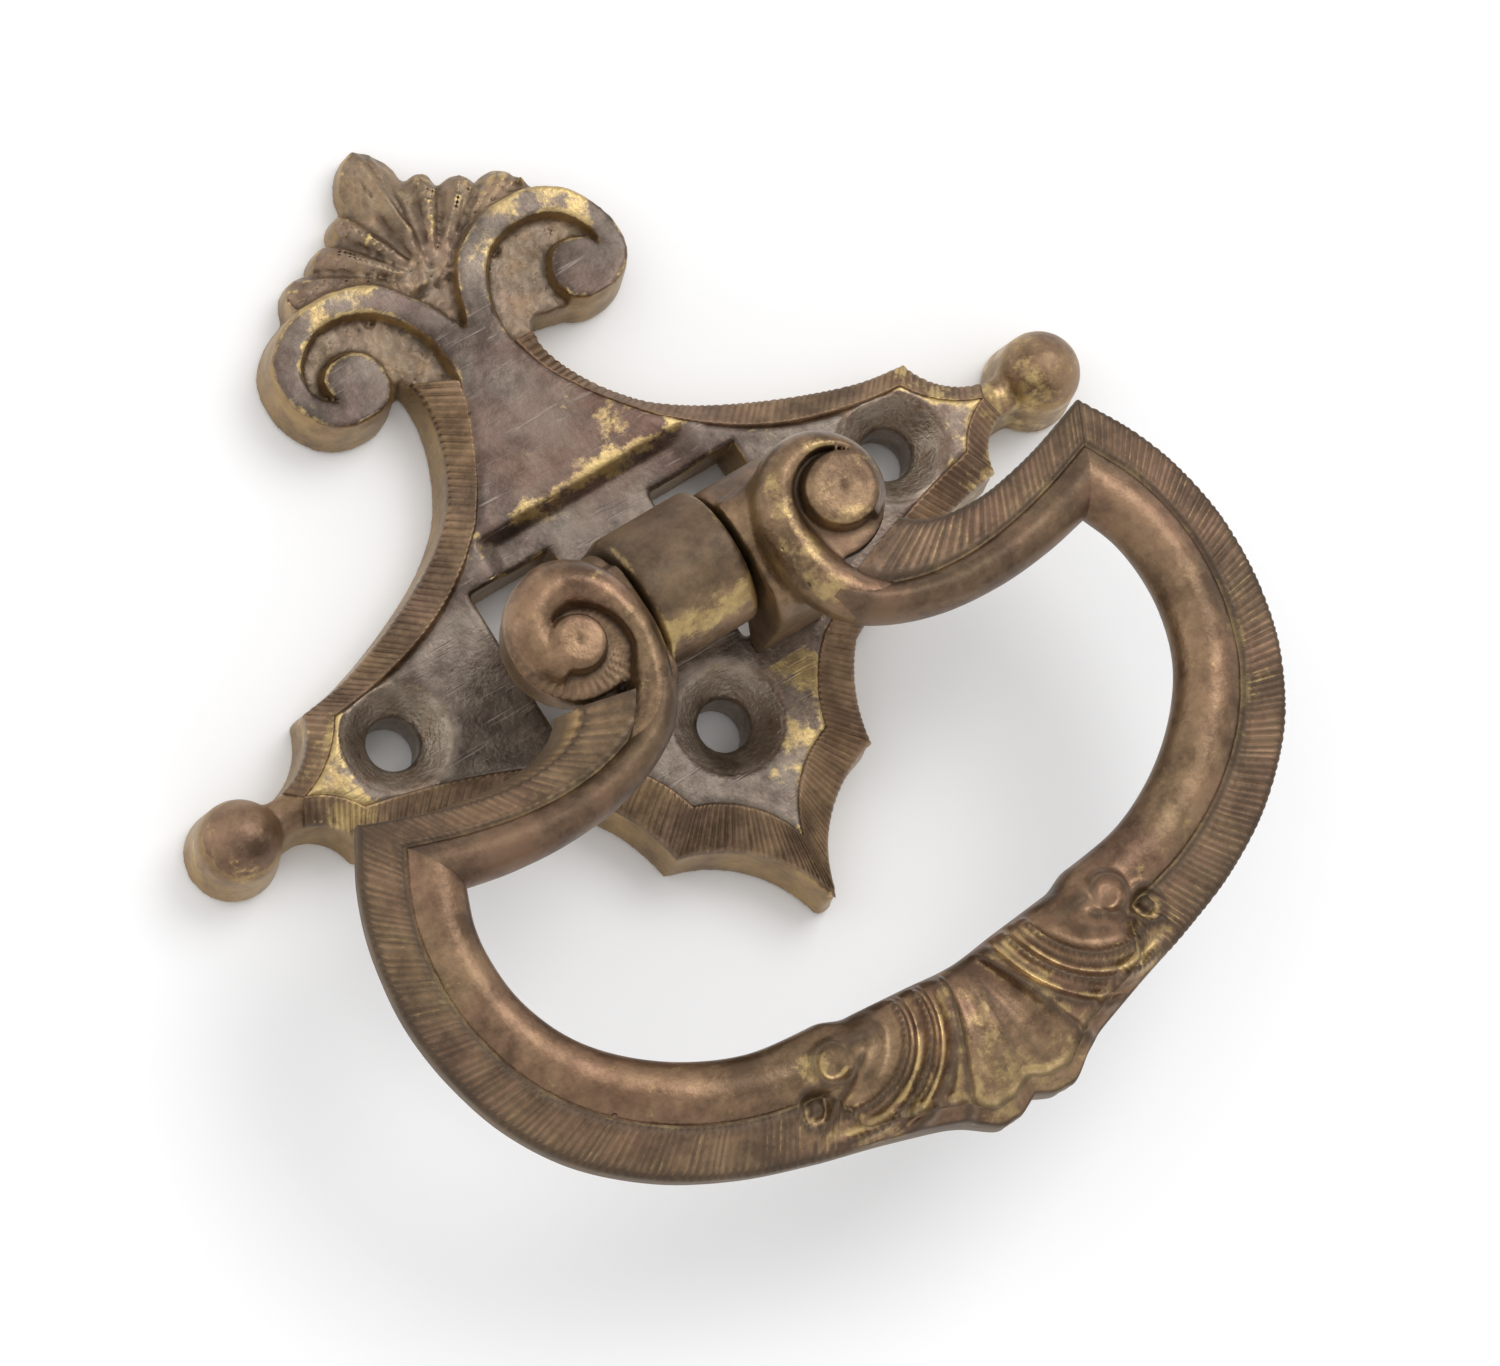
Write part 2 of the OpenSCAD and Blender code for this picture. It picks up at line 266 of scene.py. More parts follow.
def patina(name, brown, olive, gold_amount, rough):
    """Aged bronze: brown and olive patina, rubbed to gold where the wear attribute says so."""
    mat = bpy.data.materials.new(name)
    mat.use_nodes = True
    nt = mat.node_tree
    nt.nodes.clear()
    N = nt.nodes.new
    L = nt.links.new

    def remap(value, lo, hi, to_lo=0.0, to_hi=1.0, kind="LINEAR"):
        r = N("ShaderNodeMapRange")
        r.interpolation_type = kind
        for key, number in (("From Min", lo), ("From Max", hi),
                            ("To Min", to_lo), ("To Max", to_hi)):
            r.inputs[key].default_value = number
        L(value, r.inputs["Value"])
        return r.outputs["Result"]

    def texture(kind, size, vector, **values):
        t = N(kind)
        t.inputs["Scale"].default_value = size
        for key, number in values.items():
            t.inputs[key].default_value = number
        L(vector, t.inputs["Vector"])
        return t

    def noise(size, detail, roughness, lo, hi):
        t = texture("ShaderNodeTexNoise", size, coord, Detail=detail, Roughness=roughness)
        return remap(t.outputs["Fac"], lo, hi)

    def calc(op, a, b):
        m = N("ShaderNodeMath")
        m.operation = op
        for socket, v in zip(m.inputs, (a, b)):
            if isinstance(v, bpy.types.NodeSocket):
                L(v, socket)
            else:
                socket.default_value = v
        return m.outputs[0]

    def mul(a, b):
        return calc("MULTIPLY", a, b)

    def mix(fac, a, b, blend="MIX"):
        m = N("ShaderNodeMix")
        m.data_type = "RGBA"
        m.blend_type = blend
        if isinstance(fac, float):
            m.inputs["Factor"].default_value = fac
        else:
            L(fac, m.inputs["Factor"])
        for key, v in (("A", a), ("B", b)):
            socket = [i for i in m.inputs if i.name == key and i.type == "RGBA"][0]
            if isinstance(v, tuple):
                socket.default_value = v + (1.0,)
            else:
                L(v, socket)
        return [o for o in m.outputs if o.type == "RGBA"][0]

    def attr(key):
        a = N("ShaderNodeAttribute")
        a.attribute_name = key
        return a.outputs["Fac"]

    coord = N("ShaderNodeTexCoord").outputs["Object"]
    out = N("ShaderNodeOutputMaterial")
    bsdf = N("ShaderNodeBsdfPrincipled")
    L(bsdf.outputs["BSDF"], out.inputs["Surface"])

    wear, grime_and_shade, wall, flat_part, dust = (attr(k) for k in ("wear", "grime_and_shade", "wall", "flat", "dust"))
    col = mix(noise(90, 5, 0.6, 0.38, 0.62), brown, olive)
    col = mix(flat_part, col, mix(noise(130, 6, 0.65, 0.35, 0.65), PURPLE, FLAT_GREY))
    # darker oxide clouds and paler rubbed ones
    col = mix(1.0, col, mix(noise(150, 7, 0.72, 0.40, 0.60), *CLOUDS), "MULTIPLY")
    # fine scratches across the flats, from noise drawn out along one direction
    drawn = N("ShaderNodeMapping")
    drawn.inputs["Rotation"].default_value = (0.0, 0.0, 0.35)
    drawn.inputs["Scale"].default_value = (0.07, 1.0, 1.0)
    L(coord, drawn.inputs["Vector"])
    lines = texture("ShaderNodeTexNoise", 1900, drawn.outputs["Vector"], Detail=3)
    scratch = mul(remap(lines.outputs["Fac"], 0.60, 0.72, to_hi=0.45), flat_part)
    col = mix(scratch, col, SCRATCH)
    col = mix(mul(noise(45, 4, 0.55, 0.52, 0.68), 0.25), col, RED_OXIDE)
    col = mix(mul(dust, noise(420, 5, 0.7, 0.30, 0.62)), col, DUST)
    col = mix(mul(wall, 0.8), col, mix(noise(200, 6, 0.7, 0.36, 0.62), *OCHRE))
    # gold where it is rubbed, broken up into flakes
    zone = mul(noise(70, 4, 0.6, 0.36, 0.58), attr("gilt"))
    flakes = noise(260, 7, 0.72, 0.30, 0.70)
    rub = calc("ADD", mul(flakes, 0.62), mul(zone, 0.42))
    rub = calc("ADD", rub, mul(wear, 0.42))
    rub = remap(rub, 0.56, 0.80, to_hi=gold_amount, kind="SMOOTHSTEP")
    col = mix(rub, col, mix(noise(330, 5, 0.7, 0.35, 0.6), DULL_GOLD, GOLD))
    # near-black brown laid over the mask from the point attributes: grime in hollows, and painted
    # shade in creases, undersides, the bore and low parts near the plate
    col = mix(mul(grime_and_shade, 0.8), col, GRIME_AND_SHADE)
    L(col, bsdf.inputs["Base Color"])
    bsdf.inputs["Metallic"].default_value = 0.86
    bsdf.inputs["Coat Weight"].default_value = 0.16
    bsdf.inputs["Coat Roughness"].default_value = 0.28
    # rougher where grimy or in painted shade, smoother where rubbed
    ro = calc("ADD", mul(noise(160, 5, 0.6, 0.3, 0.7), 0.16), rough)
    ro = calc("ADD", ro, mul(grime_and_shade, 0.3))
    ro = calc("SUBTRACT", ro, mul(rub, 0.08))
    L(ro, bsdf.inputs["Roughness"])
    # bump: cast skin, pits in about a quarter of the cells, grain in the dust, scratches
    height = calc("ADD", noise(900, 4, 0.65, 0.2, 0.8), mul(noise(240, 3, 0.5, 0.2, 0.8), 1.2))
    pit = texture("ShaderNodeTexVoronoi", 210, coord)
    cell = N("ShaderNodeSeparateColor")
    L(pit.outputs["Color"], cell.inputs["Color"])
    pits = mul(calc("GREATER_THAN", cell.outputs["Red"], 0.72),
               remap(pit.outputs["Distance"], 0.03, 0.07, 1.0, 0.0))
    height = calc("SUBTRACT", height, mul(pits, 3.0))
    height = calc("ADD", height, mul(noise(2400, 2, 0.5, 0.3, 0.7), mul(dust, 0.8)))
    height = calc("SUBTRACT", height, mul(scratch, 1.5))
    bump = N("ShaderNodeBump")
    bump.inputs["Strength"].default_value = 0.5
    bump.inputs["Distance"].default_value = 0.00012
    L(height, bump.inputs["Height"])
    L(bump.outputs["Normal"], bsdf.inputs["Normal"])
    return mat


plate_mat = patina("plate_bronze", (0.21, 0.135, 0.09), (0.25, 0.17, 0.095), 0.85, 0.36)
bail_mat = patina("bail_bronze", (0.205, 0.122, 0.077), (0.225, 0.152, 0.086), 0.60, 0.30)
pin_mat = patina("pin_steel", (0.10, 0.085, 0.07), (0.14, 0.11, 0.075), 0.2, 0.38)

# ---------------------------------------------------------------- backplate
BALL, BALL_R, BALL_Z = (51.9, 0.8), 4.6, 6.4
FACE, BORDER = 9.3, 7.6  # height of the raised face and of the border's outer edge
AXIS_Z = 18.3  # height of the hinge axis, which runs along x at y = 0
HOLES = ((32.0, 1.6), (-32.0, 1.6), (0.0, -14.7))
HOLE_R, SINK_R = 2.9, 6.1
KNUCKLE_R, KNUCKLE_HALF = 7.8, 5.8
BORE_R = 2.55
POCKET_FLOOR = 7.9


def catmull_at(a, b, c, d, u):
    """The point a share u of the way from b to c on the Catmull-Rom curve of a, b, c, d."""
    return 0.5 * (2 * b + (c - a) * u + (2 * a - 5 * b + 4 * c - d) * u ** 2
                  + (3 * b - a - 3 * c + d) * u ** 3)


def smooth(points, per=5):
    """A Catmull-Rom curve through the points, per steps from each to the next."""
    p = np.array(points, float)
    q = np.vstack([2 * p[0] - p[1], p, 2 * p[-1] - p[-2]])
    out = []
    for i in range(len(p) - 1):
        for k in range(per):
            out.append(catmull_at(*q[i:i + 4], k / per))
    return out + [p[-1]]


def flip(points):
    return [np.array([-q[0], q[1]]) for q in points]


# Outer edges from the volute down the waist to the wing corner, one list for each side: the
# casting leans a little, and its two volutes are not twins.
VOLUTE_R = [(6.5, 46.2), (8.3, 46.6), (12.1, 46.8), (14.9, 46.0), (17.6, 44.1), (19.4, 41.0),
            (20.1, 37.9), (19.5, 34.9), (17.6, 32.9), (15.3, 32.1), (12.9, 32.2), (11.0, 33.2)]
VOLUTE_L = [(-6.5, 46.0), (-9.4, 46.7), (-13.0, 47.2), (-15.7, 46.9), (-18.8, 45.7),
            (-21.3, 43.4), (-22.1, 40.5), (-21.8, 37.4), (-20.2, 34.5), (-17.9, 32.9),
            (-14.6, 32.5), (-12.2, 33.4)]
WAIST_R = [(6.9, 34.1), (5.7, 32.6), (5.5, 30.4), (6.4, 27.3), (8.0, 24.2), (9.9, 21.6),
           (12.5, 19.0), (17.0, 16.1), (22.4, 13.5), (28.0, 11.3), (33.6, 9.6), (38.8, 8.9)]
WAIST_L = [(-9.8, 35.4), (-9.0, 34.0), (-8.8, 32.0), (-9.2, 29.2), (-10.1, 26.2), (-11.6, 23.0),
           (-14.0, 19.6), (-18.0, 16.3), (-22.8, 13.7), (-28.0, 11.5), (-33.6, 9.7), (-38.8, 8.9)]
# Inner edges of the hatched border and of the recess inside each volute, up to its curled tip
INNER_R = [(15.4, 14.3), (11.8, 17.2), (8.6, 20.9), (5.9, 24.7), (4.0, 28.2), (3.0, 32.3),
           (3.0, 36.1), (4.2, 39.4), (5.9, 41.8), (8.4, 43.1), (11.6, 43.3), (14.2, 42.5),
           (16.1, 40.8), (17.1, 38.7), (17.2, 36.8)]
INNER_L = [(-15.4, 14.3), (-12.2, 17.2), (-9.6, 20.9), (-7.5, 24.7), (-5.8, 28.2), (-4.8, 31.6),
           (-4.7, 34.9), (-5.3, 38.0), (-7.0, 40.7), (-9.1, 42.6), (-11.2, 43.5), (-13.6, 43.9),
           (-15.9, 43.4), (-18.2, 41.7), (-19.1, 39.8), (-18.9, 37.7), (-17.1, 35.8)]
# The round end of each volute, inside the curled tip
DISC_R = [(17.2, 36.8), (16.6, 38.2), (15.2, 39.2), (13.2, 39.4), (11.6, 38.6), (10.6, 36.8),
          (10.5, 35.0)]
DISC_L = [(-17.1, 35.8), (-17.8, 37.4), (-17.4, 39.2), (-15.8, 40.3), (-13.6, 40.4), (-11.8, 39.4),
          (-10.9, 37.4), (-11.0, 35.3)]
# Where the two volutes part, below the leaf crest
FORK = [(-13.0, 47.2), (-9.4, 46.5), (-6.6, 45.1), (-4.4, 42.7), (-2.6, 40.2), (-1.3, 37.4),
        (-0.8, 36.3), (0.1, 38.4), (1.0, 41.0), (2.6, 43.5), (4.9, 45.2), (8.3, 46.5), (12.1, 46.8)]

# Right halves: the outer edge below the waist, the raised face's edge and the leaf crest
lower_half = (
    arc((38.8, 8.9), (45.3, 2.8), -1.2, 8)
    + [(45.3, 2.8), (51.9, 2.8), (51.9, -1.2)]
    + arc((45.3, -1.2), (41, -6.2), -1, 8) + arc((41, -6.2), (17.5, -14), -1.2, 12)
    + arc((17.5, -14), (12.5, -24.4), -0.9, 8) + arc((12.5, -24.4), (0.4, -36.3), -2.4, 16)
    + [(0.4, -36.3)])
outline = np.array(
    smooth(VOLUTE_R) + smooth(WAIST_R) + [np.array(q, float) for q in lower_half]
    + flip(reversed(lower_half)) + smooth(WAIST_L[::-1]) + smooth(VOLUTE_L[::-1]))
face_half = (
    [(0, 17)] + arc((12, 17.3), (36.6, 7), -3, 20) + arc((36.6, 7), (44.0, 1.2), -0.9, 6)
    + arc((44.0, 1.2), (39.0, -3.0), -0.6, 6) + arc((39.0, -3.0), (14.2, -12), -1, 12)
    + arc((14.2, -12), (8.7, -20.8), -0.8, 8) + arc((8.7, -20.8), (0, -29.6), -1.6, 12)
    + [(0, -29.6)])
field = np.array(
    smooth(FORK) + smooth(VOLUTE_R[2:])[1:] + smooth(DISC_R[::-1]) + smooth(INNER_R[::-1])[1:]
    + [np.array([13.0, 13.0]), np.array([-13.0, 13.0])]
    + smooth(INNER_L) + smooth(DISC_L)[1:] + smooth(VOLUTE_L[2:][::-1])[:-1])
crest_half = (
    smooth([(0, 59.4), (1.3, 58.6), (2.4, 57.3), (3.0, 56.0), (3.1, 54.6), (3.3, 53.7)], 3)
    + smooth([(3.9, 53.6), (4.9, 53.9), (5.9, 53.2), (6.2, 51.9), (6.4, 51.3)], 3)
    + smooth([(7.2, 51.6), (8.6, 51.7), (9.8, 50.9), (10.2, 49.9), (10.6, 49.5)], 3)
    + smooth([(11.4, 50.1), (12.8, 50.2), (14.1, 49.3), (14.9, 47.6), (15.0, 45.8)], 3)
    + [np.array([14.0, 42.0])])

# The grid the casting is worked out on
P_STEP = 0.4
p_lo = np.array([-57.8, -37.6, -0.8])
p_n = [290, 246, 71]
gx = p_lo[0] + P_STEP * np.arange(p_n[0])
gy = p_lo[1] + P_STEP * np.arange(p_n[1])
gz = p_lo[2] + P_STEP * np.arange(p_n[2])
X2, Y2 = np.meshgrid(gx, gy, indexing="ij")
A2 = np.abs(X2)


def fall(y):
    """The casting gets thinner from the windows up to the crest."""
    return 1 - 0.21 * sstep(18, 42, y)


def plate_fields(x, y):
    """Distances to the outline, the raised face, the volute bands and the leaf crest."""
    d_out = poly_sdf(x, y, outline)
    d_face = poly_sdf(x, y, mirrored(face_half))
    d_field = poly_sdf(x, y, field)
    lean = -0.7 * sstep(40, 47, y) * (1 - 0.6 * sstep(50, 59, y))
    d_crest = poly_sdf(x - lean, y, mirrored(crest_half))
    return d_out, d_face, d_field, d_crest


d_out, d_face, relief, d_crest = plate_fields(X2, Y2)
thin = fall(Y2)
raised = np.minimum(relief, d_face)
rise = np.clip(-d_out / (np.maximum(-d_out, 0) + np.maximum(raised, 0) + 1e-6), 0, 1)
low = (BORDER - 0.45 + 1.6 * rise) * thin
# the recess inside each volute is flat and deep
recess = sstep(30, 34, Y2)
low = low * (1 - recess) + 5.55 * recess
grain = rng.normal(size=X2.shape) * 0.13
low = low + grain * (0.3 + 0.7 * recess)
high = FACE * thin + 0.05 * lumps(X2, Y2, 0 * X2, 6, 3)
on_face = 1 - sstep(-0.24, 0.24, raised)
# leaf crest: a middle leaf and three lobes each side that fan out from between the volutes;
# each is its angle from the middle, its half width in degrees and its length
LEAVES = ((0.0, 10.0, 17.4), (25.5, 7.7, 12.9), (44.0, 9.5, 12.9), (63.0, 11.0, 15.2))
fx, fy = X2 + 0.5, Y2 - 42.0
ang = np.degrees(np.arctan2(np.abs(fx), fy))
dist = np.hypot(fx, fy)
leafy = np.zeros_like(X2)
for mid, half_w, reach in LEAVES:
    bend = (dist / reach - 0.6) * 3.0 if mid else 0.0
    v = (ang - mid - bend) / half_w
    one = np.clip(1 - v * v, 0, 1) ** 0.7
    one = one - 0.23 * np.cos(2 * np.pi * 2.5 * np.clip(v, -1, 1)) * (np.abs(v) < 0.95) - 0.1
    if not mid:
        one = one + 0.5 * np.exp(-(fx / 0.45) ** 2) * sstep(8, 12, dist)
    leafy = np.maximum(leafy, one * (np.abs(v) < 1))
crest_z = 5.9 - 1.5 * sstep(8, 17, dist) + (1.15 * leafy - 0.5) * sstep(1.5, 6.5, dist)
crest_z -= 0.7 * sstep(-0.8, 0.0, d_crest)
crest_z += grain * (0.5 + 0.9 * (1 - sstep(2, 6, dist)))
in_crest = (d_crest < 0.3) & (Y2 > 36)
fork_zone = (np.abs(X2 + 0.5) < 14.5) & (np.abs(X2 + 0.7) < (Y2 - 36.0) * 1.25 + 0.8)
use_crest = in_crest & fork_zone & (raised > -0.3)
low = np.where(use_crest, crest_z, low)
d_body = np.minimum(d_out, d_crest)
top = low + (high - low) * on_face

Z3 = gz[None, None, :]
# the side walls spread towards the back
draft = 0.10 * (7 - np.clip(Z3, 0, 7))
f = np.maximum(d_body[:, :, None] - draft, -5).astype(np.float32)
f = smax(f, (Z3 - top[:, :, None]).astype(np.float32) * 0.9, 0.35)
# balls on their necks
ax3 = A2[:, :, None]
y3 = Y2[:, :, None]
rb = np.hypot(ax3 - BALL[0], y3 - BALL[1])
dome = np.sqrt(rb ** 2 + (Z3 - BALL_Z) ** 2) - BALL_R
post = np.maximum(rb - (BALL_R + 0.09 * (BALL_Z - Z3)), Z3 - BALL_Z)
f = smin(f, np.minimum(dome, post), 0.5)
# pocket behind the knuckle, with a sloping back wall, and a lip round the windows
above = Z3 - POCKET_FLOOR
pk = np.maximum(np.maximum(-above, y3 - 14.0 - above * 1.15), ax3 - 11.5 - above * 1.5)
pk = np.maximum(pk, 3 - y3)
f = smax(f, -pk, 0.25)
# knuckle: a round barrel whose front wall flares to the plate
kn = np.hypot(y3, Z3 - AXIS_Z) - KNUCKLE_R
flare = np.clip(AXIS_Z - Z3, 0, 20) * 0.13
below = np.maximum(np.maximum(y3 - KNUCKLE_R, Z3 - AXIS_Z), -(y3 + KNUCKLE_R + flare))
kn = smin(kn, below, 0.3)
kn = smax(kn, -(y3 * 0.94 + 0.34 * (Z3 - AXIS_Z) + 7.35), 0.4)
kn = smax(kn, ax3 - KNUCKLE_HALF, 0.7)
kn = np.maximum(kn, 3 - Z3)
f = smin(f, kn, 0.8)
f = np.maximum(f, -np.hypot(y3, Z3 - AXIS_Z) + BORE_R)
# windows beside the knuckle
win = np.maximum(np.abs(ax3 - 11.65) - 5.35, np.abs(y3 - 1.4) - 9.4)
f = smax(f, -win, 0.3)
# screw holes and their countersinks
for hx, hy in HOLES:
    r = np.hypot(X2[:, :, None] - hx, y3 - hy)
    hole = np.minimum(r - HOLE_R, r - HOLE_R - (Z3 - (FACE - SINK_R + HOLE_R)))
    hole = np.maximum(hole, r - SINK_R - 0.1)
    f = smax(f, -np.minimum(hole, np.maximum(r - SINK_R - 0.1, FACE - 0.4 - Z3)), 0.2)
# flat back
f = smax(f, -Z3, 0.4)

pv, pq = surface_nets(f, p_lo, P_STEP)
pv = relax(pv, pq, 2, w=0.45)
pv[:, 2] = np.maximum(pv[:, 2], 0.0)
pn = normals_of(pv, pq)
bulge = convexity(pv, pq, 5)
vx, vy, vz = pv.T
_, vd_face, v_relief, _ = plate_fields(vx, vy)
up = np.clip(pn[:, 2], 0, 1)
on_plate = (vz < 11) & (up > 0.5)
wall = (up < 0.45) & (vz < FACE + 0.4)
in_sink = np.zeros(len(pv))
near_sink = np.zeros(len(pv))
for hx, hy in HOLES:
    r = np.hypot(vx - hx, vy - hy)
    in_sink = np.maximum(in_sink, 1 - sstep(SINK_R - 0.4, SINK_R + 0.3, r))
    near_sink = np.maximum(near_sink, np.exp(-((r - SINK_R - 2.5) / 2.8) ** 2) * (r > SINK_R))
v_raised = np.minimum(v_relief, vd_face)
in_recess = sstep(0.1, 0.6, v_raised) * sstep(28, 33, vy) * (vy < 45)
flat = (1 - sstep(-0.2, 0.2, v_raised)) * (up > 0.6) * (vz < 10)
v_wear = np.clip((bulge - 0.045) * 9, 0, 1)
on_slope = (vy > 12.6) & (vy < 16.4) & (np.abs(vx) < 13.2) & (vz > 8.2) & (vz < 10.2)
v_wear += 0.22 * on_slope * sstep(8.3, 9.2, vz)
on_knuckle = (np.abs(vx) < 5.9) & (vz > 11)
v_wear += 0.8 * on_knuckle * np.exp(-((vy + 5.6) / 1.4) ** 2)
v_wear *= 1 - 0.9 * in_sink
# where the old gilding has lasted: wing ends, volute bands, the ledge and part of the field
v_gilt = 0.9 * near_sink * (np.abs(vx) > 30) * (np.abs(vx) > 33 - 1.5 * vy * (vx < 0))
v_gilt = np.maximum(v_gilt, 1.1 * sstep(36.5, 39, np.abs(vx)) * on_plate)
on_volute = on_plate * flat * sstep(37.5, 41, vy) * (1 - sstep(17, 20, np.abs(vx)))
v_gilt = np.maximum(v_gilt, (0.85 + 0.3 * (vx > 0)) * on_volute)
v_gilt = np.maximum(v_gilt, 0.8 * np.exp(-((vy - 15.4) / 2.0) ** 2) * (np.abs(vx) < 14))
v_gilt = np.maximum(v_gilt, 0.65 * np.exp(-(np.hypot(vx - 7.5, vy - 20) / 5.5) ** 2))
v_gilt = np.maximum(v_gilt, 1.0 * flat * (vy < -12) * (vx > -2) * (vx < 12))
v_gilt = np.maximum(v_gilt, on_knuckle * (0.35 + 0.35 * (vy < -4)))
v_gilt = np.maximum(v_gilt, 0.45 * sstep(46, 50, vy))
v_gilt = np.clip(v_gilt, 0, 1) * (1 - in_sink)
v_gilt = np.where(np.abs(vx) > 46, np.where(vx > 0, 0.75, 0.45), v_gilt)
v_dust = np.maximum(0.95 * in_sink, 0.45 * in_recess)
v_dust = np.maximum(v_dust, 0.40 * flat * (1 - sstep(6, 12, vy)))
v_dust = np.maximum(v_dust, 0.30 * sstep(40, 46, vy))
v_dust = np.maximum(v_dust, 0.45 * on_volute * (vx > 0))
# darker in concave hollows (partly grime, partly painted shade), on the back of the knuckle, on the
# back face at z = 0 and inside the pin bore (painted shade)
v_grime_and_shade = np.clip(-(bulge + 0.03) * 10, 0, 1) * (0.8 - 0.5 * in_sink) + 0.2 * in_recess
v_grime_and_shade += 0.60 * on_knuckle * sstep(-5, -2.5, vy)
v_grime_and_shade += 0.35 * (vz < 0.05) + 0.5 * (np.hypot(vy, vz - AXIS_Z) < 3.2)
plate_obj = make_mesh(
    "backplate_casting", pv, pq,
    {"wear": np.clip(v_wear, 0, 1), "grime_and_shade": np.clip(v_grime_and_shade, 0, 1), "wall": wall * (1 - in_sink),
     "flat": np.maximum(flat * (1 - in_sink), 0.5 * in_sink), "gilt": v_gilt, "dust": v_dust},
    plate_mat, "plate")
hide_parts("backplate")


# ---------------------------------------------------------------- hatched borders
def resample(points, n):
    """n points evenly spaced along the line through the points."""
    p = np.array(points, float)
    s = np.concatenate([[0], np.cumsum(np.linalg.norm(np.diff(p, axis=0), axis=1))])
    at = np.linspace(0, s[-1], n)
    return np.stack([np.interp(at, s, p[:, k]) for k in range(2)], 1)


def ridge_wave(s, pitch, seed):
    """Round ridges with sharp valleys, and how strong each ridge is."""
    r = np.random.default_rng(seed)
    w = s / pitch + 0.22 * np.sin(s * 0.9 + r.uniform(0, 6))
    w = w + 0.10 * np.sin(s * 2.3 + r.uniform(0, 6))
    strength = 0.82 + 0.18 * np.interp(w, np.arange(-4, 400), r.uniform(-1, 1, 404))
    return np.abs(np.sin(np.pi * w)) ** 0.8, strength


def border_strip(outer, inner, pitch, seed, depth=0.34):
    """A sloping band with ridges square to the edge, from the wall up to the face."""
    length = np.linalg.norm(np.diff(np.array(outer), axis=0), axis=1).sum()
    n = max(12, int(length / pitch * 6))
    a, b = resample(outer, n), resample(inner, n)
    s = np.linspace(0, length, n)
    wave, strength = ridge_wave(s, pitch, seed)
    # across the band: place between the edges, height over the slope, share of the ridges
    us = [-0.04, 0.0, 0.05, 0.16, 0.32, 0.48, 0.64, 0.80, 0.92, 1.0, 1.08]
    hs = [-0.9, -0.25, 0.0, 0.0, 0.0, 0.0, 0.0, 0.0, 0.0, -0.08, -0.6]
    rs = [0, 0.6, 1.0, 1.0, 1.0, 0.95, 0.9, 0.8, 0.6, 0.2, 0]
    gk = fall(a[:, 1])
    rows, wv, dv = [], [], []
    for u, h, q in zip(us, hs, rs):
        p = a + (b - a) * u
        z = (BORDER + (FACE - BORDER) * np.clip(u, 0, 1)) * gk + h
        z = z + depth * q * (wave - 1) * strength
        # ridge tips stand out a little past the wall
        tip = 0.10 * (wave - 0.5) * (1 - sstep(0, 0.1, np.full(n, u)))
        d = (a - b) / np.linalg.norm(a - b, axis=1)[:, None]
        p = p + d * tip[:, None]
        rows.append(np.column_stack([p, z]))
        crown = wave * strength
        wv.append(np.clip((crown - 0.6) * (1.5 if u < 0.1 else 0.35), 0, 1) * q)
        # valleys between the ridges darkened: painted shade
        dv.append(np.clip(0.7 - crown, 0, 1) * 0.7 * q)
    low_a = np.column_stack([a + (b - a) * 0.1, np.full(n, BORDER - 2.0) * gk])
    low_b = np.column_stack([a + (b - a) * 1.08, np.full(n, BORDER - 2.0) * gk])
    rows += [low_b, low_a]
    wv += [np.zeros(n)] * 2
    dv += [np.zeros(n)] * 2
    m = len(rows)
    verts = np.stack(rows, 1).reshape(-1, 3)
    i, j = np.meshgrid(np.arange(n - 1), np.arange(m), indexing="ij")
    j2 = (j + 1) % m
    quads = np.stack([i * m + j, (i + 1) * m + j, (i + 1) * m + j2, i * m + j2], -1).reshape(-1, 4)
    return verts, quads, np.stack(wv, 1).ravel(), np.stack(dv, 1).ravel(), (n, m)


def join(parts):
    """All strips as one mesh. Each end is closed but for a sliver in the middle of its top."""
    vs, qs, ws, ds = [], [], [], []
    base = 0
    for v, q, w, d, (n, m) in parts:
        caps = []
        for row in (0, n - 1):
            ring = [row * m + k for k in range(m)]
            # close each end with a strip of quads across the ring
            a, b = 0, m - 1
            while b - a > 2:
                quad = [ring[a], ring[a + 1], ring[b - 1], ring[b]]
                caps.append(quad if row == 0 else quad[::-1])
                a, b = a + 1, b - 1
        qs.append(np.concatenate([q, np.array(caps)]) + base)
        vs.append(v)
        ws.append(w)
        ds.append(d)
        base += len(v)
    return np.concatenate(vs), np.concatenate(qs), np.concatenate(ws), np.concatenate(ds)


def end(points, last):
    """An arc with its end point added."""
    return list(points) + [np.array(last, float)]


inner_low = [(15.4, 14.3), (19.0, 11.9), (23.4, 9.8), (28.0, 8.4), (32.4, 7.5), (36.6, 7.0)]
